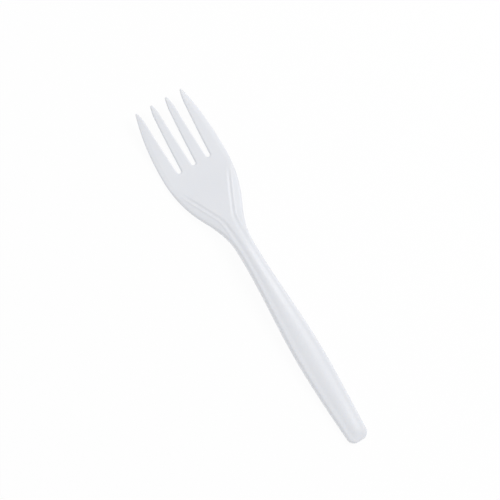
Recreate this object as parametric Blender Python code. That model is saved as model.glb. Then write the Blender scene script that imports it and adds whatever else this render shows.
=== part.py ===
"""A throwaway plastic fork, moulded in one shot.

The fork lies along Y, its handle's end at -Y and the points of its four tines at +Y, the eating side up.
It stands on the flat pad under the handle's end and on the belly of the head.

Lengths below are in millimetres. A station is a distance from the handle's end, along the fork.
"""

import bmesh
import bpy
import numpy as np

MM = 0.001

# The whole fork.
LENGTH = 152.0

# Curves along the fork, each a few knots of (station, value, slope).
HALF_WIDTH = (
    (0.0, 4.2, 0.055),  # handle's end
    (38.0, 5.68, 0.0),  # widest place of the grip
    (84.0, 3.8, 0.0),  # neck
    (90.0, 4.05, 0.13),
    (103.0, 8.7, 0.51),  # shoulder of the head
    (124.5, 13.8, 0.0),  # widest place of the head
    (152.0, 10.25, -0.3),  # outer points
)
UNDERSIDE = (
    (0.0, 0.0, 0.0),
    (12.0, 0.0, 0.0),  # the pad's level, which the fork stands on
    (80.0, 3.0, 0.0),  # top of the arch under the neck
    (121.5, 0.0, 0.0),  # belly of the head
    (152.0, 4.6, 0.22),  # points, turned up
)
DEPTH = (
    (0.0, 2.8, 0.03),
    (38.0, 3.7, 0.0),
    (84.0, 3.9, 0.0),
    (101.0, 2.95, -0.07),
    (110.0, 2.5, -0.06),
    (121.5, 1.55, -0.02),
    (152.0, 1.15, -0.01),
)
ROOF = (
    (0.0, 1.0, 0.0),
    (84.0, 1.05, 0.0),
    (101.0, 1.2, 0.02),
    (110.0, 1.35, 0.02),
    (121.5, 1.55, 0.01),
    (152.0, 1.55, 0.0),
)
CREASE = (
    (0.0, 2.55, 0.055),  # the crease follows the grip's edge at its inset
    (38.0, 4.0, 0.0),
    (84.0, 2.05, 0.0),
    (96.0, 2.15, 0.08),
    (101.0, 3.1, 0.46),  # then spreads as the two arms of a V
    (110.0, 7.4, 0.49),
    (118.0, 11.3, 0.42),
    (123.2, 11.8, 0.0),
    (152.0, 8.5, -0.3),
)
SEAM = (
    (0.0, 1.6, 0.0),  # where the mesh of an inner tine meets that of an outer one
    (96.0, 1.0, 0.03),
    (112.0, 4.0, 0.27),
    (124.2, 6.55, 0.01),
)

# Slots between the tines.
SLOT_ROOT = 124.2
SLOT_ROOT_RADIUS = 0.85
SLOT_END_HALF_WIDTH = 2.18
SLOT_FLARE = 0.75
SLOT_FLARE_LENGTH = 5.0
SIDE_SLOT_X = 6.55
SIDE_SLOT_SPREAD = 0.08
POINT_RADIUS = 0.45

# Handle's end.
END_CORNER_RADIUS = 2.8
END_BULGE = 0.3
END_BULGE_LENGTH = 5.0
PAD_LENGTH = 5.0
PAD_STEP = 0.8

# Raised panel down the middle, and the border outside its crease.
PANEL_END = 1.9
PANEL_CORNER = 1.0
END_SHOULDER = 2.8
CROWN = ((0.0, 0.45, 0.0), (84.0, 0.5, 0.0), (104.0, 0.0, 0.0), (152.0, 0.0, 0.0))
SHOULDER_WIDTH = 1.25
SHOULDER_DROP = 0.34
LIP_WIDTH = 0.85
LIP_RISE = 0.15
LIP_BACK = 0.28
FLANK_FALL = 0.2
BORDER_FALL = 0.12
CREASE_START = (86.0, 99.0)
CREASE_FADE = (111.0, 119.0)

# Walls and edges.
RIM_WIDTH = 1.0
RIM_SLOPE = 0.25
PARTING = ((0.0, 0.3, 0.0), (90.0, 0.3, 0.0), (118.0, 0.7, 0.0), (152.0, 0.55, 0.0))
TOP_ROUND = ((0.0, 1.25, 0.0), (113.0, 1.25, 0.0), (122.0, 0.8, 0.0), (152.0, 0.8, 0.0))
BOTTOM_ROUND = ((0.0, 0.3, 0.0), (90.0, 0.3, 0.0), (118.0, 0.5, 0.0), (152.0, 0.45, 0.0))
ROUND_POWER = 2.6

# Rows and columns of the mesh: stations, runs of (first, limit, spacing), shares of a strip and insets.
END_ROWS = (0.0, 0.06, 0.25, 0.6, 1.2, 1.9, 2.6, 3.8, 5.0, 5.8, 8.0)
GRIP_ROWS = (12.0, 82.0, 7.0)
NECK_ROWS = (84.0, 120.0, 3.0)
ROOT_ROWS = (121.5, 122.9, 123.6, 124.05)
TINE_ROWS = (127.0, 147.0, 4.0)
POINT_ROWS = (148.6, 150.2, 151.1)
ARC_ROWS = 4
INNER_SHARES = (0.0, 0.02, 0.09, 0.24, 0.5, 0.76, 0.91, 0.98, 1.0)
OUTER_SHARES = (0.0, 0.04, 0.18, 0.5)
CREASE_INSET = 3.1
EDGE_INSETS = (0.4, 0.08, 0.0)
STRIP_MARGIN = 1.0

WELD = 0.001
COLOUR = (0.86, 0.87, 0.89, 1.0)
ROUGHNESS = 0.32


def curve(knots, station):
    """Value at each station of the smooth curve through the knots: one cubic between each two of them."""
    at, value, slope = np.array(knots).T
    left = np.clip(np.searchsorted(at, station, side="right") - 1, 0, len(at) - 2)
    span = at[left + 1] - at[left]
    t = (station - at[left]) / span
    rise = value[left + 1] - value[left]
    ease = t * t * (3 - 2 * t)
    return (
        value[left]
        + rise * ease
        + span * slope[left] * t * (1 - t) ** 2
        - span * slope[left + 1] * t * t * (1 - t)
    )


def step(low, high, value):
    """0 up to low, 1 from high on, and a smooth rise between."""
    t = np.clip((value - low) / (high - low), 0, 1)
    return t * t * (3 - 2 * t)


def rounded(distance, radius):
    """Height share of an edge: 0 on the outline, 1 from one radius inside it, a rounded corner between."""
    inside = np.clip(1 - distance / radius, 0, 1)
    return (1 - inside**ROUND_POWER) ** (1 / ROUND_POWER)


def outline(station):
    """Half-width of the fork's outline, with the round corners of the handle's end."""
    short = np.clip(END_CORNER_RADIUS - station, 0, END_CORNER_RADIUS)
    corner = END_CORNER_RADIUS - np.sqrt(END_CORNER_RADIUS**2 - short**2)
    return curve(HALF_WIDTH, station) - corner


def slot_half_width(station):
    """Half-width of a slot: a half circle at its root, a taper, and a flare that sharpens the points."""
    centre = SLOT_ROOT + SLOT_ROOT_RADIUS
    below = np.clip(centre - station, 0, SLOT_ROOT_RADIUS)
    arc = np.sqrt(SLOT_ROOT_RADIUS**2 - below**2)
    share = np.clip((station - centre) / (LENGTH - centre), 0, 1)
    flare = np.clip((station - LENGTH) / SLOT_FLARE_LENGTH + 1, 0, 1)
    taper = share * (SLOT_END_HALF_WIDTH - SLOT_ROOT_RADIUS) + SLOT_FLARE * flare**2
    return np.where(station < SLOT_ROOT, 0.0, arc + taper)


def side_slot_x(station):
    """Centre line of a side slot, and below its root the seam that leads to it."""
    share = (station - SLOT_ROOT) / (LENGTH - SLOT_ROOT)
    seam = curve(SEAM, np.minimum(station, SLOT_ROOT)) * outline(station) / curve(HALF_WIDTH, station)
    return np.where(station < SLOT_ROOT, seam, SIDE_SLOT_X + share * SIDE_SLOT_SPREAD)


def tine_edges(station):
    """Left and right edge of the inner and the outer strip on the +X side, drawn together at the points."""
    straight = np.minimum(station, LENGTH - POINT_RADIUS)
    slot = slot_half_width(straight)
    middle = side_slot_x(straight)
    over = np.clip((station - LENGTH) / POINT_RADIUS + 1, 0, 1)
    close = np.sqrt(1 - over**2)
    strips = []
    for left, right in ((slot, middle - slot), (middle + slot, outline(straight))):
        centre = (left + right) / 2
        half = (right - left) / 2 * close
        strips.append((centre - half, centre + half))
    return strips


def edge_distance(x, station):
    """Shortest way from a point inside the fork to its outline."""
    width = curve(HALF_WIDTH, station)
    lean = np.hypot(1, (curve(HALF_WIDTH, station + 0.1) - curve(HALF_WIDTH, station - 0.1)) / 0.2)
    side = (width - x) / lean
    corner_x = x - (width - END_CORNER_RADIUS)
    corner_y = END_CORNER_RADIUS - station
    corner = END_CORNER_RADIUS - np.hypot(corner_x, corner_y)
    end = np.where((corner_x > 0) & (corner_y > 0), corner, np.minimum(side, station))
    root = SLOT_ROOT + SLOT_ROOT_RADIUS
    slots = []
    for middle in (0.0, side_slot_x(np.maximum(station, SLOT_ROOT))):
        beside = np.abs(x - middle) - slot_half_width(station)
        around = np.hypot(x - middle, station - root) - SLOT_ROOT_RADIUS
        slots.append(np.where(station < root, around, beside))
    distance = np.minimum(end, np.minimum(*slots))
    for left, right in tine_edges(np.full_like(station, LENGTH - POINT_RADIUS)):
        point = POINT_RADIUS - np.hypot((x - (left + right) / 2) / ((right - left) / 2) * POINT_RADIUS,
                                        station - LENGTH + POINT_RADIUS)
        on_tine = (station > LENGTH - POINT_RADIUS) & (np.abs(x - (left + right) / 2) <= (right - left) / 2)
        distance = np.where(on_tine, point, distance)
    return np.maximum(distance, 0.0)


def panel_distance(x, station):
    """Distance outside the panel's crease: a long shape with round corners at the handle's end."""
    beyond_side = x - curve(CREASE, station) + PANEL_CORNER
    beyond_end = PANEL_END - station + PANEL_CORNER
    corner = np.hypot(np.maximum(beyond_side, 0), np.maximum(beyond_end, 0))
    straight = np.minimum(np.maximum(beyond_side, beyond_end), 0)
    return corner + straight - PANEL_CORNER


def panel_top(x, station):
    """Height of the eating side, before its edges are rounded.

    Inside the crease lies the panel, crowned across the grip and flat in the head, with a sloping shoulder.
    Outside it the head's border rises to a low lip and then falls towards the outline.
    """
    outside = panel_distance(x, station)
    across = np.clip(x / curve(CREASE, station), 0, 1)
    end = step(-END_SHOULDER, 0, PANEL_END - station)
    crown = curve(CROWN, station) * (1 - (1 - across**2) ** 2 * (1 - end))
    edge = (
        SHOULDER_DROP * step(-SHOULDER_WIDTH, 0, outside)
        - LIP_RISE * step(0, LIP_WIDTH, outside)
        + LIP_BACK * step(LIP_WIDTH, 2 * LIP_WIDTH, outside)
        + FLANK_FALL * np.maximum(outside - 2 * LIP_WIDTH, 0)
    )
    here = step(*CREASE_START, station) * (1 - step(*CREASE_FADE, station))
    border = BORDER_FALL * np.maximum(outside, 0)
    return curve(UNDERSIDE, station) + curve(DEPTH, station) - crown - border - here * (edge - border)


def heights(x, station):
    """Heights of the eating side and of the underside, which meet on the outline at the parting line."""
    distance = edge_distance(x, station)
    under = curve(UNDERSIDE, station)
    parting = under + curve(PARTING, station)
    top = panel_top(x, station)
    hollow = np.maximum(top - curve(ROOF, station) - under, 0)
    inside_rim = step(RIM_WIDTH, RIM_WIDTH + RIM_SLOPE, distance)
    past_pad = step(PAD_LENGTH, PAD_LENGTH + PAD_STEP, station)
    bottom = under + hollow * inside_rim * past_pad
    return (
        parting + (top - parting) * rounded(distance, curve(TOP_ROUND, station)),
        parting + (bottom - parting) * rounded(distance, curve(BOTTOM_ROUND, station)),
    )


def rows():
    """Stations of the mesh's rows: close together at the ends, in the neck and round the slots' roots."""
    quarter = np.linspace(0, np.pi / 2, ARC_ROWS)
    return np.concatenate((
        END_ROWS,
        np.arange(*GRIP_ROWS),
        np.arange(*NECK_ROWS),
        ROOT_ROWS,
        SLOT_ROOT + SLOT_ROOT_RADIUS * (1 - np.cos(quarter)),
        np.arange(*TINE_ROWS),
        POINT_ROWS,
        LENGTH - POINT_RADIUS + POINT_RADIUS * np.sin(quarter),
    ))


def inner_columns(left, right):
    """Columns of the inner strip, close together round its edges."""
    return left + (right - left) * np.array(INNER_SHARES)


def outer_columns(left, right, crease):
    """Columns of the outer strip: even ones up to the panel's shoulder, then over the crease and the lip, on
    both sides of the rim's wall and round the outer edge."""
    insets = (RIM_WIDTH + RIM_SLOPE, RIM_WIDTH, *EDGE_INSETS)
    from_outline = np.broadcast_to(insets, (len(right), len(insets)))
    over_lip = np.array((SHOULDER_WIDTH, 0, -LIP_WIDTH, -2 * LIP_WIDTH))
    from_crease = np.maximum(right - crease, CREASE_INSET) + over_lip
    inwards = np.concatenate((from_crease, from_outline), axis=1)
    squeeze = np.minimum(1, (right - left) / (inwards[:, :1] + STRIP_MARGIN))
    outer = right - inwards * squeeze
    inner = left + (outer[:, :1] - left) * np.array(OUTER_SHARES)
    return np.concatenate((inner, outer), axis=1)


def add_sheet(mesh, x, station, height, faces_up):
    """One grid of faces over the plan points, looking up or down; the handle's end bulges by a parabola."""
    fade = np.clip(1 - station / END_BULGE_LENGTH, 0, 1) ** 2
    y = station + END_BULGE * (x / curve(HALF_WIDTH, station)) ** 2 * fade - LENGTH / 2
    points = np.stack((x, y, height), axis=-1) * MM
    verts = [[mesh.verts.new(point) for point in row] for row in points]
    for near, far in zip(verts, verts[1:]):
        for corner in range(len(near) - 1):
            face = [near[corner], near[corner + 1], far[corner + 1], far[corner]]
            mesh.faces.new(face if faces_up else face[::-1])


def half_fork():
    """The fork's +X half: two strips, side by side and joined up to the slots' roots."""
    station = rows()[:, None]
    (inner_left, inner_right), (outer_left, outer_right) = tine_edges(station)
    plans = (
        inner_columns(inner_left, inner_right),
        outer_columns(outer_left, outer_right, curve(CREASE, station)),
    )
    mesh = bmesh.new()
    for x in plans:
        along = np.broadcast_to(station, x.shape)
        top, bottom = heights(x, along)
        add_sheet(mesh, x, along, top, faces_up=True)
        add_sheet(mesh, x, along, bottom, faces_up=False)
    bmesh.ops.remove_doubles(mesh, verts=mesh.verts, dist=WELD * MM)
    return mesh


def white_plastic():
    material = bpy.data.materials.new("white_plastic")
    material.use_nodes = True
    shader = material.node_tree.nodes["Principled BSDF"]
    shader.inputs["Base Color"].default_value = COLOUR
    shader.inputs["Roughness"].default_value = ROUGHNESS
    shader.inputs["Metallic"].default_value = 0.0
    return material


def make_fork():
    data = bpy.data.meshes.new("fork")
    mesh = half_fork()
    mesh.to_mesh(data)
    mesh.free()
    data.materials.append(white_plastic())
    data.shade_smooth()
    data.set_sharp_from_angle(angle=np.radians(50))
    fork = bpy.data.objects.new("fork", data)
    bpy.context.scene.collection.objects.link(fork)
    mirror = fork.modifiers.new("other_half", "MIRROR")
    mirror.merge_threshold = WELD * MM
    return fork


for old in list(bpy.data.objects):
    bpy.data.objects.remove(old)
make_fork()
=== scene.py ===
"""The looks of a throwaway plastic fork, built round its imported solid.

The fork lies along Y with its points at +Y and its eating side up. A station is a distance from the handle's
end, along the fork. Everything is in metres.
"""

import bmesh
import bpy
import numpy as np
from mathutils import Matrix, Vector


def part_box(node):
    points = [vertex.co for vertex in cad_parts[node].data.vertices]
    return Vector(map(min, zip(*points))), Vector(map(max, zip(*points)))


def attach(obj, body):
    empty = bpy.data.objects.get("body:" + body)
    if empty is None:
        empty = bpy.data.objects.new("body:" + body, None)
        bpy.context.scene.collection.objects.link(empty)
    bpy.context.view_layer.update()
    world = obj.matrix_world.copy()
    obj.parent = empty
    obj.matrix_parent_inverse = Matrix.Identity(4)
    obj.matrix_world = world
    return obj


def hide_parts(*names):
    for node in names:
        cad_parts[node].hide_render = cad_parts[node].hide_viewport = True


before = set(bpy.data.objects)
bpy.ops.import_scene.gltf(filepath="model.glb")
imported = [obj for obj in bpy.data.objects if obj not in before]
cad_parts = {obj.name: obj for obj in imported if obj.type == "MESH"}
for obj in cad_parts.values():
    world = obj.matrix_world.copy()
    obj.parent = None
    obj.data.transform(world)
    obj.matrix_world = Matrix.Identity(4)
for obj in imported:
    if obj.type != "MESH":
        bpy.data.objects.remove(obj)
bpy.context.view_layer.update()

bl_info = {
    "name": "Plastic fork",
    "version": (1, 0, 0),
    "blender": (4, 5, 0),
    "location": "View3D > Sidebar > Fork",
    "description": "Makes a moulded throwaway fork and the stage that it is shown on",
    "category": "Add Mesh",
}

FORK_LOW, FORK_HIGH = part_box("fork")
LENGTH = FORK_HIGH[1] - FORK_LOW[1]

# Stations: where the grip is widest, the neck narrowest, the head lowest, the head widest, and where the
# slots start. Then the stretches over which the pad ends, the crown fades, and the crease and the flanks
# come and go.
GRIP = 0.038
NECK = 0.084
BELLY = 0.1215
HEAD = 0.1245
SLOT_ROOT = 0.1242
PAD_EDGE = (0.005, 0.0058)
CROWN_FADE = (NECK, 0.104)
CREASE_START = (0.086, 0.099)
CREASE_FADE = (0.111, 0.119)
FLANK_START = (0.09, 0.1)
FLANK_FADE = (0.113, 0.122)

# Curves along the fork, each through a few knots of (station, value, slope). UNDERSIDE is the rim's level,
# and DEPTH the way up from there to the middle of the eating side. ROOF is the wall over the channel,
# PARTING the parting line's rise over the rim, and BOTTOM_ROUND the width of the rounded lower edge.
UNDERSIDE = ((0, 0, 0), (0.012, 0, 0), (0.08, 0.003, 0), (BELLY, 0, 0), (LENGTH, 0.0046, 0.22))
DEPTH = (
    (0, 0.0028, 0.03),
    (GRIP, 0.0037, 0),
    (NECK, 0.0039, 0),
    (0.101, 0.00295, -0.07),
    (0.11, 0.0025, -0.06),
    (BELLY, 0.00155, -0.02),
    (LENGTH, 0.00115, -0.01),
)
ROOF = (
    (0, 0.001, 0),
    (NECK, 0.00105, 0),
    (0.101, 0.0012, 0.02),
    (0.11, 0.00135, 0.02),
    (BELLY, 0.00155, 0.01),
    (LENGTH, 0.00155, 0),
)
PARTING = ((0, 0.0003, 0), (0.09, 0.0003, 0), (0.118, 0.0007, 0), (LENGTH, 0.00055, 0))
BOTTOM_ROUND = ((0, 0.0003, 0), (0.09, 0.0003, 0), (0.118, 0.0005, 0), (LENGTH, 0.00045, 0))

# Two more curves, both ways off the middle: the crease, and the seam between the surface's two strips.
CREASE = (
    (0, 0.00255, 0.055),
    (GRIP, 0.004, 0),
    (NECK, 0.00205, 0),
    (0.096, 0.00215, 0.08),
    (0.101, 0.0031, 0.46),
    (0.11, 0.0074, 0.49),
    (0.118, 0.0113, 0.42),
    (0.1232, 0.0118, 0),
    (LENGTH, 0.0085, -0.3),
)
SEAM = ((0, 0.0016, 0), (0.096, 0.001, 0.03), (0.112, 0.004, 0.27), (SLOT_ROOT, 0.00655, 0.01))

# Half-width and share of the crown at the handle's end, and the half-width's growth just past the neck.
END_HALF_WIDTH = 0.0042
END_CROWN_SHARE = 0.9
NECK_FLARE = 0.00025

# The panel's end and the radius of its corners, how far the handle's end bulges and over what length, the
# widths at which the rim's inner wall starts and ends, and the power of the rounded edges' superellipse.
PANEL_END = 0.0019
PANEL_CORNER = 0.001
END_BULGE = 0.0003
END_BULGE_LENGTH = 0.005
RIM = (0.001, 0.00125)
ROUND_POWER = 2.6

# How finely the surface is divided: rows in each arc and in each run between the arcs, the station where
# the neck's close rows end, the columns, and the least way from a strip's inner edge to its close columns.
ARC_ROWS = 10
CORNER_ROWS = 14
PAD_ROWS = 6
PAD_EDGE_ROWS = 8
GRIP_ROWS = 96
NECK_ROWS = 120
PALM_ROWS = 16
TINE_ROWS = 52
POINT_ROWS = 22
NECK_ROWS_END = 0.12
INNER_COLUMNS = 21
OUTER_COLUMNS = 13
SHOULDER_COLUMNS = 8
LIP_COLUMNS = 11
RIM_COLUMNS = 5
EDGE_COLUMNS = 9
STRIP_MARGIN = 0.001

# Points closer than WELD become one, points closer than ON_OUTLINE to the outline are on it, and rows whose
# stations have the same STATION_DIGITS digits after the point are one row.
WELD = 1e-6
ON_OUTLINE = 1e-9
STATION_DIGITS = 9

# Swing of the roughness either way, weight of the ripple beside the grain, and the numbers of a Mix node's
# colour sockets, which share their names with other sockets.
GLOSS_SPREAD = 0.05
RIPPLE_SHARE = 2.0
MIX_FIRST, MIX_SECOND, MIX_RESULT = 6, 7, 2

# The stage: half the floor's width, and the place and width of each light.
FLOOR_HALF_WIDTH = 3.0
KEY_PLACE = (0.75, -0.05, 0.85)
KEY_SIZE = 0.6
TOP_PLACE = (0.0, 0.2, 1.1)
TOP_SIZE = 0.8


class ForkSizes(bpy.types.PropertyGroup):
    """Sizes of the fork that a maker would change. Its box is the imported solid's."""

    grip_half_width: bpy.props.FloatProperty(
        name="Grip half-width", description="Half the handle's width at its widest",
        default=0.00568, min=0.004, max=0.0075, subtype="DISTANCE", unit="LENGTH")
    neck_half_width: bpy.props.FloatProperty(
        name="Neck half-width", description="Half the fork's width at the neck",
        default=0.0038, min=0.003, max=0.005, subtype="DISTANCE", unit="LENGTH")
    crown: bpy.props.FloatProperty(
        name="Crown", description="How far the panel rises along the middle of the grip",
        default=0.0005, min=0, max=0.001, subtype="DISTANCE", unit="LENGTH")
    shoulder_drop: bpy.props.FloatProperty(
        name="Shoulder drop", description="How far the head's panel stands over the bottom of its crease",
        default=0.00034, min=0, max=0.0005, subtype="DISTANCE", unit="LENGTH")
    shoulder_width: bpy.props.FloatProperty(
        name="Shoulder width", description="How far the panel's shoulder reaches in from the crease",
        default=0.00125, min=0.0003, max=0.002, subtype="DISTANCE", unit="LENGTH")
    lip_rise: bpy.props.FloatProperty(
        name="Lip rise", description="How far the border's lip stands over the bottom of the crease",
        default=0.00015, min=0, max=0.0005, subtype="DISTANCE", unit="LENGTH")
    lip_width: bpy.props.FloatProperty(
        name="Lip width", description="Width of each of the lip's two sides",
        default=0.00085, min=0.0003, max=0.0012, subtype="DISTANCE", unit="LENGTH")
    lip_back: bpy.props.FloatProperty(
        name="Lip back", description="How far the border falls behind its lip",
        default=0.00028, min=0, max=0.0005, subtype="DISTANCE", unit="LENGTH")
    flank_fall: bpy.props.FloatProperty(
        name="Flank fall", description="Slope of the head's flanks outside the lip",
        default=0.2, min=0, max=0.4, subtype="FACTOR")
    border_fall: bpy.props.FloatProperty(
        name="Border fall", description="Slope of the border along the handle",
        default=0.12, min=0, max=0.4, subtype="FACTOR")
    slot_root_radius: bpy.props.FloatProperty(
        name="Slot root radius", description="Radius of the round roots of the slots between the tines",
        default=0.00085, min=0.0006, max=0.0012, subtype="DISTANCE", unit="LENGTH")
    slot_end_half_width: bpy.props.FloatProperty(
        name="Slot end half-width", description="Half the width of a slot where the points start",
        default=0.00218, min=0.0015, max=0.0025, subtype="DISTANCE", unit="LENGTH")
    slot_flare: bpy.props.FloatProperty(
        name="Slot flare", description="How far each side of a slot turns away to sharpen the points",
        default=0.00075, min=0, max=0.001, subtype="DISTANCE", unit="LENGTH")
    slot_flare_length: bpy.props.FloatProperty(
        name="Slot flare length", description="Length over which the points are sharpened",
        default=0.005, min=0.002, max=0.01, subtype="DISTANCE", unit="LENGTH")
    side_slot_x: bpy.props.FloatProperty(
        name="Side slot place", description="How far off the middle a side slot's root is",
        default=0.00655, min=0.005, max=0.0075, subtype="DISTANCE", unit="LENGTH")
    side_slot_spread: bpy.props.FloatProperty(
        name="Side slot spread", description="How much further out a side slot ends than it starts",
        default=0.00008, min=0, max=0.001, subtype="DISTANCE", unit="LENGTH")
    point_radius: bpy.props.FloatProperty(
        name="Point radius", description="Length over which each point is rounded off",
        default=0.00045, min=0.0002, max=0.0008, subtype="DISTANCE", unit="LENGTH")
    end_shoulder: bpy.props.FloatProperty(
        name="End shoulder", description="Length over which the panel falls away at the handle's end",
        default=0.0028, min=0.0005, max=0.004, subtype="DISTANCE", unit="LENGTH")
    end_corner_radius: bpy.props.FloatProperty(
        name="End corner radius", description="Radius of the corners of the handle's end",
        default=0.0028, min=0.001, max=0.004, subtype="DISTANCE", unit="LENGTH")
    grip_round: bpy.props.FloatProperty(
        name="Grip edge round", description="Width of the rounded upper edge along the handle",
        default=0.00125, min=0.0003, max=0.0015, subtype="DISTANCE", unit="LENGTH")
    head_round: bpy.props.FloatProperty(
        name="Head edge round", description="Width of the rounded upper edge round the head and the tines",
        default=0.0008, min=0.0003, max=0.0012, subtype="DISTANCE", unit="LENGTH")
    flank_round: bpy.props.FloatProperty(
        name="Flank edge round", description="Width of the rounded upper edge along the head's flanks",
        default=0.00125, min=0.0003, max=0.0015, subtype="DISTANCE", unit="LENGTH")


class ForkFinish(bpy.types.PropertyGroup):
    """The plastic's colour and surface."""

    plastic: bpy.props.FloatVectorProperty(
        name="Plastic", description="Colour of the white plastic",
        default=(0.80, 0.815, 0.85), size=3, min=0, max=1, subtype="COLOR")
    plastic_cloud: bpy.props.FloatVectorProperty(
        name="Plastic, clouded", description="Colour of the slightly denser drifts in the plastic",
        default=(0.785, 0.80, 0.84), size=3, min=0, max=1, subtype="COLOR")
    roughness: bpy.props.FloatProperty(
        name="Roughness", description="Middle of the surface's roughness",
        default=0.34, min=0, max=1, subtype="FACTOR")
    grain: bpy.props.FloatProperty(
        name="Grain", description="Depth of the fine grain that the mould leaves",
        default=0.000012, min=0, max=0.0001, subtype="DISTANCE", unit="LENGTH")


class StageLooks(bpy.types.PropertyGroup):
    """Floor, light and camera."""

    floor: bpy.props.FloatVectorProperty(
        name="Floor", description="Share of the light on the floor that it throws back, low to hide shadows",
        default=(0.1, 0.1, 0.1), size=3, min=0, max=1, subtype="COLOR")
    floor_glow: bpy.props.FloatProperty(
        name="Floor glow", description="White light that the floor gives off, as a light table does",
        default=0.895, min=0, max=2)
    sky: bpy.props.FloatProperty(
        name="Surrounding light", description="Strength of the even light from all round",
        default=0.655, min=0, max=2)
    key: bpy.props.FloatProperty(
        name="Key light", description="Power of the soft light over the fork's +X side",
        default=3.8, min=0, max=100, unit="POWER")
    top: bpy.props.FloatProperty(
        name="Top light", description="Power of the soft light overhead",
        default=1.4, min=0, max=100, unit="POWER")
    turn: bpy.props.FloatProperty(
        name="Camera turn", description="Clockwise angle from the fork's length to the picture's way up",
        default=np.radians(31.4), subtype="ANGLE", unit="ROTATION")
    side: bpy.props.FloatProperty(
        name="Camera side", description="Anticlockwise angle from +X to the side that the camera stands on",
        default=np.radians(190.0), subtype="ANGLE", unit="ROTATION")
    elevation: bpy.props.FloatProperty(
        name="Camera elevation", description="Angle of the camera over the floor",
        default=np.radians(80.0), subtype="ANGLE", unit="ROTATION")
    lens: bpy.props.FloatProperty(
        name="Lens", description="Focal length of the camera in millimetres",
        default=100.0, min=20, max=300)
    frame_width: bpy.props.FloatProperty(
        name="Frame width", description="Width of the floor that the camera takes in",
        default=0.1922, min=0.1, max=0.5, subtype="DISTANCE", unit="LENGTH")
    aim: bpy.props.FloatVectorProperty(
        name="Aim", description="Point that the camera looks at",
        default=(0.0009, 0.0088, 0.004), size=3, subtype="XYZ", unit="LENGTH")


def curve(knots, station):
    """Value at each station of the smooth curve through the knots: one cubic between each two of them."""
    at, value, slope = np.array(knots, float).T
    left = np.clip(np.searchsorted(at, station, side="right") - 1, 0, len(at) - 2)
    span = at[left + 1] - at[left]
    t = (station - at[left]) / span
    ease = t * t * (3 - 2 * t)
    return (
        value[left]
        + (value[left + 1] - value[left]) * ease
        + span * slope[left] * t * (1 - t) ** 2
        - span * slope[left + 1] * t * t * (1 - t)
    )


def step(low, high, value):
    """0 up to low, 1 from high on, and a smooth rise between."""
    t = np.clip((value - low) / (high - low), 0, 1)
    return t * t * (3 - 2 * t)


def rounded(distance, radius):
    """Height share of an edge: a quarter superellipse, 0 on the outline, 1 from one radius inside it."""
    inside = np.clip(1 - distance / radius, 0, 1)
    return (1 - inside**ROUND_POWER) ** (1 / ROUND_POWER)


def half_width(sizes, station):
    """Half-width along the fork, without the corners of its end: a smooth curve through seven knots."""
    knots = (
        (0, END_HALF_WIDTH, 0.055),
        (GRIP, sizes.grip_half_width, 0),
        (NECK, sizes.neck_half_width, 0),
        (0.09, sizes.neck_half_width + NECK_FLARE, 0.13),
        (0.103, 0.0087, 0.51),
        (HEAD, FORK_HIGH[0], 0),
        (LENGTH, 0.01025, -0.3),
    )
    return curve(knots, station)


def outline(sizes, station):
    """Half-width of the outline: the half-width less a quarter circle at each corner of the handle's end."""
    radius = sizes.end_corner_radius
    short = np.clip(radius - station, 0, radius)
    return half_width(sizes, station) - radius + np.sqrt(radius**2 - short**2)


def lean(sizes, station):
    """Length of outline for each length of axis. A width across, divided by it, is square to the edge."""
    reach = 0.0001
    rise = half_width(sizes, station + reach) - half_width(sizes, station - reach)
    return np.hypot(1, rise / (2 * reach))


def slot_half_width(sizes, station):
    """Half-width of a slot: a half circle at its root, a taper, and a flare that sharpens the points."""
    radius = sizes.slot_root_radius
    centre = SLOT_ROOT + radius
    arc = np.sqrt(radius**2 - np.clip(centre - station, 0, radius) ** 2)
    share = np.clip((station - centre) / (LENGTH - centre), 0, 1)
    flare = np.clip((station - LENGTH) / sizes.slot_flare_length + 1, 0, 1)
    taper = share * (sizes.slot_end_half_width - radius) + sizes.slot_flare * flare**2
    return np.where(station < SLOT_ROOT, 0.0, arc + taper)


def side_slot_x(sizes, station):
    """Centre line of a side slot, and below its root the seam between the inner and the outer strip."""
    share = (station - SLOT_ROOT) / (LENGTH - SLOT_ROOT)
    narrowed = outline(sizes, station) / half_width(sizes, station)
    seam = curve(SEAM, np.minimum(station, SLOT_ROOT)) * narrowed
    return np.where(station < SLOT_ROOT, seam, sizes.side_slot_x + share * sizes.side_slot_spread)


def tine_edges(sizes, station):
    """Left and right edge of each strip at +X: slots and outline, drawn into an arc at the points."""
    straight = np.minimum(station, LENGTH - sizes.point_radius)
    slot = slot_half_width(sizes, straight)
    middle = side_slot_x(sizes, straight)
    over = np.clip((station - LENGTH) / sizes.point_radius + 1, 0, 1)
    closing = np.sqrt(1 - over**2)
    strips = []
    for left, right in ((slot, middle - slot), (middle + slot, outline(sizes, straight))):
        centre = (left + right) / 2
        half = (right - left) / 2 * closing
        strips.append((centre - half, centre + half))
    return strips


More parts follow.
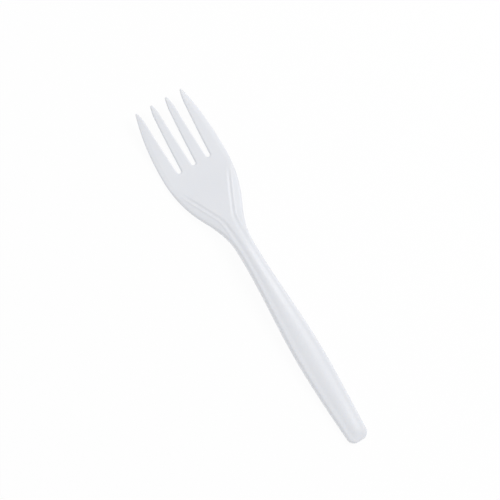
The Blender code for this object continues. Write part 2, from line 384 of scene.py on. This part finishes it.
def edge_distance(sizes, x, station):
    """Shortest way to the outline: the least of those to the sides, end, corners, slots and points."""
    width = half_width(sizes, station)
    side = (width - x) / lean(sizes, station)
    corner_x = x - (width - sizes.end_corner_radius)
    corner_y = sizes.end_corner_radius - station
    corner = sizes.end_corner_radius - np.hypot(corner_x, corner_y)
    distance = np.where((corner_x > 0) & (corner_y > 0), corner, np.minimum(side, station))
    centre = SLOT_ROOT + sizes.slot_root_radius
    for middle in (0.0, side_slot_x(sizes, np.maximum(station, SLOT_ROOT))):
        beside = np.abs(x - middle) - slot_half_width(sizes, station)
        around = np.hypot(x - middle, station - centre) - sizes.slot_root_radius
        distance = np.minimum(distance, np.where(station < centre, around, beside))
    past = station - LENGTH + sizes.point_radius
    for left, right in tine_edges(sizes, np.full_like(station, LENGTH - sizes.point_radius)):
        across = (2 * x - left - right) / (right - left)
        point = sizes.point_radius * (1 - np.hypot(across, past / sizes.point_radius))
        distance = np.where((past > 0) & (np.abs(across) <= 1), point, distance)
    return np.where(distance < ON_OUTLINE, 0.0, distance)


def panel_distance(x, station):
    """Distance outside the panel's crease: a long shape with round corners at the handle's end."""
    beyond_side = x - curve(CREASE, station) + PANEL_CORNER
    beyond_end = PANEL_END - station + PANEL_CORNER
    corner = np.hypot(np.maximum(beyond_side, 0), np.maximum(beyond_end, 0))
    straight = np.minimum(np.maximum(beyond_side, beyond_end), 0)
    return corner + straight - PANEL_CORNER


def panel_top(sizes, x, station):
    """Height of the eating side before its edges are rounded.

    The middle's height, less crown * (1 - (1 - u^2)^2 (1 - e)) across the grip, with u = x / crease and e a
    smooth step at the handle's end, less a straight fall of the border. In the head instead of that fall:
    less a smooth step down the shoulder, plus one up the lip, less one down its back and the flank's fall.
    """
    crown_knots = (
        (0, sizes.crown * END_CROWN_SHARE, 0),
        (CROWN_FADE[0], sizes.crown, 0),
        (CROWN_FADE[1], 0, 0),
        (LENGTH, 0, 0),
    )
    crown = curve(crown_knots, station)
    outside = panel_distance(x, station)
    across = np.clip(x / curve(CREASE, station), 0, 1)
    end = step(-sizes.end_shoulder, 0, PANEL_END - station)
    lip = sizes.lip_width
    edge = (
        sizes.shoulder_drop * step(-sizes.shoulder_width, 0, outside)
        - sizes.lip_rise * step(0, lip, outside)
        + sizes.lip_back * step(lip, 2 * lip, outside)
        + sizes.flank_fall * np.maximum(outside - 2 * lip, 0)
    )
    border = sizes.border_fall * np.maximum(outside, 0)
    here = step(*CREASE_START, station) * (1 - step(*CREASE_FADE, station))
    middle = curve(UNDERSIDE, station) + curve(DEPTH, station)
    return middle - crown * (1 - (1 - across**2) ** 2 * (1 - end)) - border - here * (edge - border)


def heights(sizes, x, station):
    """Heights of the eating side and of the underside: each leaves the parting line as a rounded edge.

    The underside is the rim's level, plus inside the rim a smooth step up to the roof under the panel.
    """
    distance = edge_distance(sizes, x, station)
    top_round = (
        (0, sizes.grip_round, 0),
        (FLANK_START[0], sizes.grip_round, 0),
        (FLANK_START[1], sizes.flank_round, 0),
        (FLANK_FADE[0], sizes.flank_round, 0),
        (FLANK_FADE[1], sizes.head_round, 0),
        (LENGTH, sizes.head_round, 0),
    )
    under = curve(UNDERSIDE, station)
    parting = under + curve(PARTING, station)
    top = panel_top(sizes, x, station)
    hollow = np.maximum(top - curve(ROOF, station) - under, 0)
    bottom = under + hollow * step(*RIM, distance) * step(*PAD_EDGE, station)
    return (
        parting + (top - parting) * rounded(distance, curve(top_round, station)),
        parting + (bottom - parting) * rounded(distance, curve(BOTTOM_ROUND, station)),
    )


def rows(sizes):
    """Stations of the rows: arcs at the end, the slots' roots and the points, and even runs between them."""
    quarter = np.linspace(0, np.pi / 2, ARC_ROWS)
    end = sizes.grip_round * (1 - np.cos(quarter))
    root = SLOT_ROOT + sizes.slot_root_radius * (1 - np.cos(quarter))
    before_root = SLOT_ROOT - sizes.head_round * (1 - np.sin(quarter))
    points = LENGTH - sizes.point_radius * (1 - np.sin(quarter))
    corner = sizes.end_corner_radius
    flare = LENGTH - sizes.slot_flare_length
    runs = (
        (end[-1], corner, CORNER_ROWS),
        (corner, PAD_EDGE[0], PAD_ROWS),
        (*PAD_EDGE, PAD_EDGE_ROWS),
        (PAD_EDGE[1], NECK, GRIP_ROWS),
        (NECK, NECK_ROWS_END, NECK_ROWS),
        (NECK_ROWS_END, before_root[0], PALM_ROWS),
        (root[-1], flare, TINE_ROWS),
        (flare, points[0], POINT_ROWS),
    )
    stations = [end, before_root, root, points]
    stations += [np.linspace(*run) for run in runs]
    return np.unique(np.round(np.concatenate(stations), STATION_DIGITS))[:, None]


def inner_columns(left, right):
    """Columns of the inner strip: the feet of points set evenly round a half circle over its width."""
    return left + (right - left) * (1 - np.cos(np.linspace(0, np.pi, INNER_COLUMNS))) / 2


def outer_columns(sizes, left, right, station):
    """Columns of the outer strip, from its inner edge to the outline.

    They step out as 1 - cos of even angles, then evenly over the shoulder and the lip. The last ones are
    even steps over the rim's wall, sorted in with the rounded edge's, which go as 1 - cos again.
    """
    edge = sizes.flank_round * (1 - np.cos(np.linspace(0, np.pi / 2, EDGE_COLUMNS)))
    rim = np.linspace(*RIM, RIM_COLUMNS)
    across_rim = np.sort(np.concatenate((rim, edge)))[::-1] * lean(sizes, station)
    least = (2 * sizes.lip_width + RIM[1]) * lean(sizes, station)
    crease = np.maximum(right - curve(CREASE, station), least)
    shoulder = np.linspace(sizes.shoulder_width, 0, SHOULDER_COLUMNS)
    lip = np.linspace(0, -2 * sizes.lip_width, LIP_COLUMNS)[1:]
    inwards = np.concatenate((crease + np.concatenate((shoulder, lip)), across_rim), axis=1)
    squeeze = np.minimum(1, (right - left) / (inwards[:, :1] + STRIP_MARGIN))
    outer = right - inwards * squeeze
    quarter = np.linspace(0, np.pi / 2, OUTER_COLUMNS)[:-1]
    inner = left + (outer[:, :1] - left) * (1 - np.cos(quarter))
    return np.concatenate((inner, outer), axis=1)


def grid_faces(shape, first, faces_up):
    """Corner numbers of a grid's faces, counted from the first point."""
    index = np.arange(shape[0] * shape[1]).reshape(shape) + first
    corners = (index[:-1, :-1], index[:-1, 1:], index[1:, 1:], index[1:, :-1])
    return np.stack(corners if faces_up else corners[::-1], axis=-1).reshape(-1, 4)


def fork_surface(sizes):
    """Points and faces of the fork: two strips on each side of its middle, each an upper and a lower sheet.

    A sheet is the plan's grid of rows and columns, lifted to its height. The -X side is the +X side's mirror
    image. The plan's rows bulge outwards at the handle's end by a parabola.
    """
    station = rows(sizes)
    (inner_left, inner_right), (outer_left, outer_right) = tine_edges(sizes, station)
    plans = (
        inner_columns(inner_left, inner_right),
        outer_columns(sizes, outer_left, outer_right, station),
    )
    points = []
    faces = []
    count = 0
    for x in plans:
        along = np.broadcast_to(station, x.shape)
        fade = np.clip(1 - along / END_BULGE_LENGTH, 0, 1) ** 2
        y = along + END_BULGE * (x / half_width(sizes, along)) ** 2 * fade - LENGTH / 2
        for height, faces_up in zip(heights(sizes, x, along), (True, False)):
            for side in (1, -1):
                points.append(np.stack((side * x, y, height), axis=-1).reshape(-1, 3))
                faces.append(grid_faces(x.shape, count, faces_up == (side > 0)))
                count += x.size
    return np.concatenate(points), np.concatenate(faces)


def mesh_object(name, points, faces):
    """A smooth object at the origin from arrays of points and four-cornered faces, with its seams closed."""
    data = bpy.data.meshes.new(name)
    data.vertices.add(len(points))
    data.vertices.foreach_set("co", points.ravel())
    data.loops.add(faces.size)
    data.loops.foreach_set("vertex_index", faces.ravel())
    data.polygons.add(len(faces))
    data.polygons.foreach_set("loop_start", np.arange(0, faces.size, faces.shape[1]))
    data.update(calc_edges=True)
    mesh = bmesh.new()
    mesh.from_mesh(data)
    bmesh.ops.remove_doubles(mesh, verts=mesh.verts, dist=WELD)
    mesh.to_mesh(data)
    mesh.free()
    data.shade_smooth()
    made = bpy.data.objects.new(name, data)
    bpy.context.scene.collection.objects.link(made)
    return made


def add_node(tree, kind, place, **inputs):
    """One shader node at a place in the tree, with the values of its named inputs."""
    node = tree.nodes.new(kind)
    node.location = place
    for name, value in inputs.items():
        node.inputs[name.replace("_", " ")].default_value = value
    return node


def white_plastic(finish):
    """White moulded plastic: faint clouds in its colour, uneven gloss, and a fine grain in its surface."""
    material = bpy.data.materials.new("white_plastic")
    material.use_nodes = True
    tree = material.node_tree
    link = tree.links.new
    shader = tree.nodes["Principled BSDF"]
    shader.inputs["Specular IOR Level"].default_value = 0.5
    shader.inputs["IOR"].default_value = 1.49
    shader.inputs["Subsurface Weight"].default_value = 0.12
    shader.inputs["Subsurface Radius"].default_value = (1.0, 0.9, 0.8)
    shader.inputs["Subsurface Scale"].default_value = 0.0006
    place = add_node(tree, "ShaderNodeTexCoord", (-1300, 0))
    clouds = add_node(tree, "ShaderNodeTexNoise", (-900, 300), Scale=70.0, Detail=3.0, Roughness=0.5)
    flow = add_node(tree, "ShaderNodeMapping", (-1100, 300), Scale=(1.6, 0.35, 1.6))
    colour = add_node(tree, "ShaderNodeMix", (-500, 300))
    colour.data_type = "RGBA"
    colour.inputs[MIX_FIRST].default_value = (*finish.plastic, 1)
    colour.inputs[MIX_SECOND].default_value = (*finish.plastic_cloud, 1)
    gloss = add_node(tree, "ShaderNodeTexNoise", (-900, 0), Scale=420.0, Detail=4.0, Roughness=0.6)
    gloss_range = add_node(tree, "ShaderNodeMapRange", (-500, 0), From_Min=0.3, From_Max=0.7,
                           To_Min=finish.roughness - GLOSS_SPREAD, To_Max=finish.roughness + GLOSS_SPREAD)
    grain = add_node(tree, "ShaderNodeTexNoise", (-900, -300), Scale=2600.0, Detail=2.0, Roughness=0.55)
    ripple = add_node(tree, "ShaderNodeTexNoise", (-900, -550), Scale=160.0, Detail=1.0)
    both = add_node(tree, "ShaderNodeMath", (-700, -400))
    both.operation = "MULTIPLY_ADD"
    both.inputs[1].default_value = RIPPLE_SHARE
    bump = add_node(tree, "ShaderNodeBump", (-300, -300), Strength=0.6, Distance=finish.grain)
    link(place.outputs["Object"], flow.inputs["Vector"])
    link(flow.outputs["Vector"], clouds.inputs["Vector"])
    link(clouds.outputs["Fac"], colour.inputs["Factor"])
    link(colour.outputs[MIX_RESULT], shader.inputs["Base Color"])
    link(place.outputs["Object"], gloss.inputs["Vector"])
    link(gloss.outputs["Fac"], gloss_range.inputs["Value"])
    link(gloss_range.outputs["Result"], shader.inputs["Roughness"])
    link(place.outputs["Object"], grain.inputs["Vector"])
    link(place.outputs["Object"], ripple.inputs["Vector"])
    link(ripple.outputs["Fac"], both.inputs[0])
    link(grain.outputs["Fac"], both.inputs[2])
    link(both.outputs[0], bump.inputs["Height"])
    link(bump.outputs["Normal"], shader.inputs["Normal"])
    return material


def floor_material(looks):
    """Plain pale floor that gives off most of its light itself, so that hardly any shadow shows on it."""
    material = bpy.data.materials.new("pale_floor")
    material.use_nodes = True
    shader = material.node_tree.nodes["Principled BSDF"]
    shader.inputs["Base Color"].default_value = (*looks.floor, 1)
    shader.inputs["Roughness"].default_value = 0.9
    shader.inputs["Specular IOR Level"].default_value = 0.1
    shader.inputs["Emission Color"].default_value = (1, 1, 1, 1)
    shader.inputs["Emission Strength"].default_value = looks.floor_glow
    return material


def add_floor(looks):
    """A square floor under the fork, just below the surface that it touches."""
    half = FLOOR_HALF_WIDTH
    points = np.array(((-half, -half, 0), (half, -half, 0), (half, half, 0), (-half, half, 0)), float)
    floor = mesh_object("floor", points, np.array(((0, 1, 2, 3),)))
    floor.data.materials.append(floor_material(looks))


def add_lamp(name, power, size, place):
    """A square soft light at a place, turned towards the origin."""
    data = bpy.data.lights.new(name, "AREA")
    data.energy = power
    data.size = size
    lamp = bpy.data.objects.new(name, data)
    turned = place.to_track_quat("Z", "Y").to_matrix().to_4x4()
    lamp.matrix_world = Matrix.Translation(place) @ turned
    bpy.context.scene.collection.objects.link(lamp)


def add_camera(looks):
    """A long lens over the fork, whose distance gives the asked width of floor."""
    data = bpy.data.cameras.new("camera")
    data.lens = looks.lens
    data.clip_start = 0.01
    distance = looks.frame_width * data.lens / data.sensor_width
    level = np.cos(looks.elevation)
    back = Vector((level * np.cos(looks.side), level * np.sin(looks.side), np.sin(looks.elevation)))
    right = Vector((np.sin(looks.turn), np.cos(looks.turn), 0)).cross(back).normalized()
    camera = bpy.data.objects.new("camera", data)
    turned = Matrix((right, back.cross(right), back)).transposed().to_4x4()
    camera.matrix_world = Matrix.Translation(Vector(looks.aim) + back * distance) @ turned
    bpy.context.scene.collection.objects.link(camera)
    bpy.context.scene.camera = camera


class FORK_OT_moulding(bpy.types.Operator):
    """Make the fork's fine surface in place of its faceted solid"""

    bl_idname = "fork.moulding"
    bl_label = "Make the fork"

    def execute(self, context):
        made = mesh_object("fork_moulding", *fork_surface(context.scene.fork_sizes))
        made.data.materials.append(white_plastic(context.scene.fork_finish))
        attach(made, "root")
        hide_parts("fork")
        return {"FINISHED"}


class FORK_OT_stage(bpy.types.Operator):
    """Make the floor, the soft lights, the surrounding light and the camera"""

    bl_idname = "fork.stage"
    bl_label = "Make the stage"

    def execute(self, context):
        scene = context.scene
        looks = scene.fork_stage
        scene.view_settings.view_transform = "Standard"
        world = bpy.data.worlds.new("even_light")
        world.use_nodes = True
        world.node_tree.nodes["Background"].inputs["Color"].default_value = (1, 1, 1, 1)
        world.node_tree.nodes["Background"].inputs["Strength"].default_value = looks.sky
        scene.world = world
        add_floor(looks)
        add_lamp("key_light", looks.key, KEY_SIZE, Vector(KEY_PLACE))
        add_lamp("top_light", looks.top, TOP_SIZE, Vector(TOP_PLACE))
        add_camera(looks)
        return {"FINISHED"}


class FORK_PT_panel(bpy.types.Panel):
    """The fork's operators and sizes"""

    bl_idname = "FORK_PT_panel"
    bl_label = "Fork"
    bl_space_type = "VIEW_3D"
    bl_region_type = "UI"
    bl_category = "Fork"

    def draw(self, context):
        column = self.layout.column()
        for operator in OPERATORS:
            column.operator(operator.bl_idname)
        for group in (context.scene.fork_sizes, context.scene.fork_finish, context.scene.fork_stage):
            box = column.box()
            for name in group.__annotations__:
                box.prop(group, name)


OPERATORS = (FORK_OT_moulding, FORK_OT_stage)
CLASSES = (ForkSizes, ForkFinish, StageLooks, *OPERATORS, FORK_PT_panel)


def register():
    """Add the classes to Blender and the fork's values to the scene."""
    for made in CLASSES:
        bpy.utils.register_class(made)
    bpy.types.Scene.fork_sizes = bpy.props.PointerProperty(type=ForkSizes)
    bpy.types.Scene.fork_finish = bpy.props.PointerProperty(type=ForkFinish)
    bpy.types.Scene.fork_stage = bpy.props.PointerProperty(type=StageLooks)


def unregister():
    """Take out again what register added."""
    del bpy.types.Scene.fork_stage
    del bpy.types.Scene.fork_finish
    del bpy.types.Scene.fork_sizes
    for made in reversed(CLASSES):
        bpy.utils.unregister_class(made)


def main():
    """Make the fork and its stage."""
    register()
    bpy.ops.fork.moulding()
    bpy.ops.fork.stage()


if __name__ == "__main__":
    main()
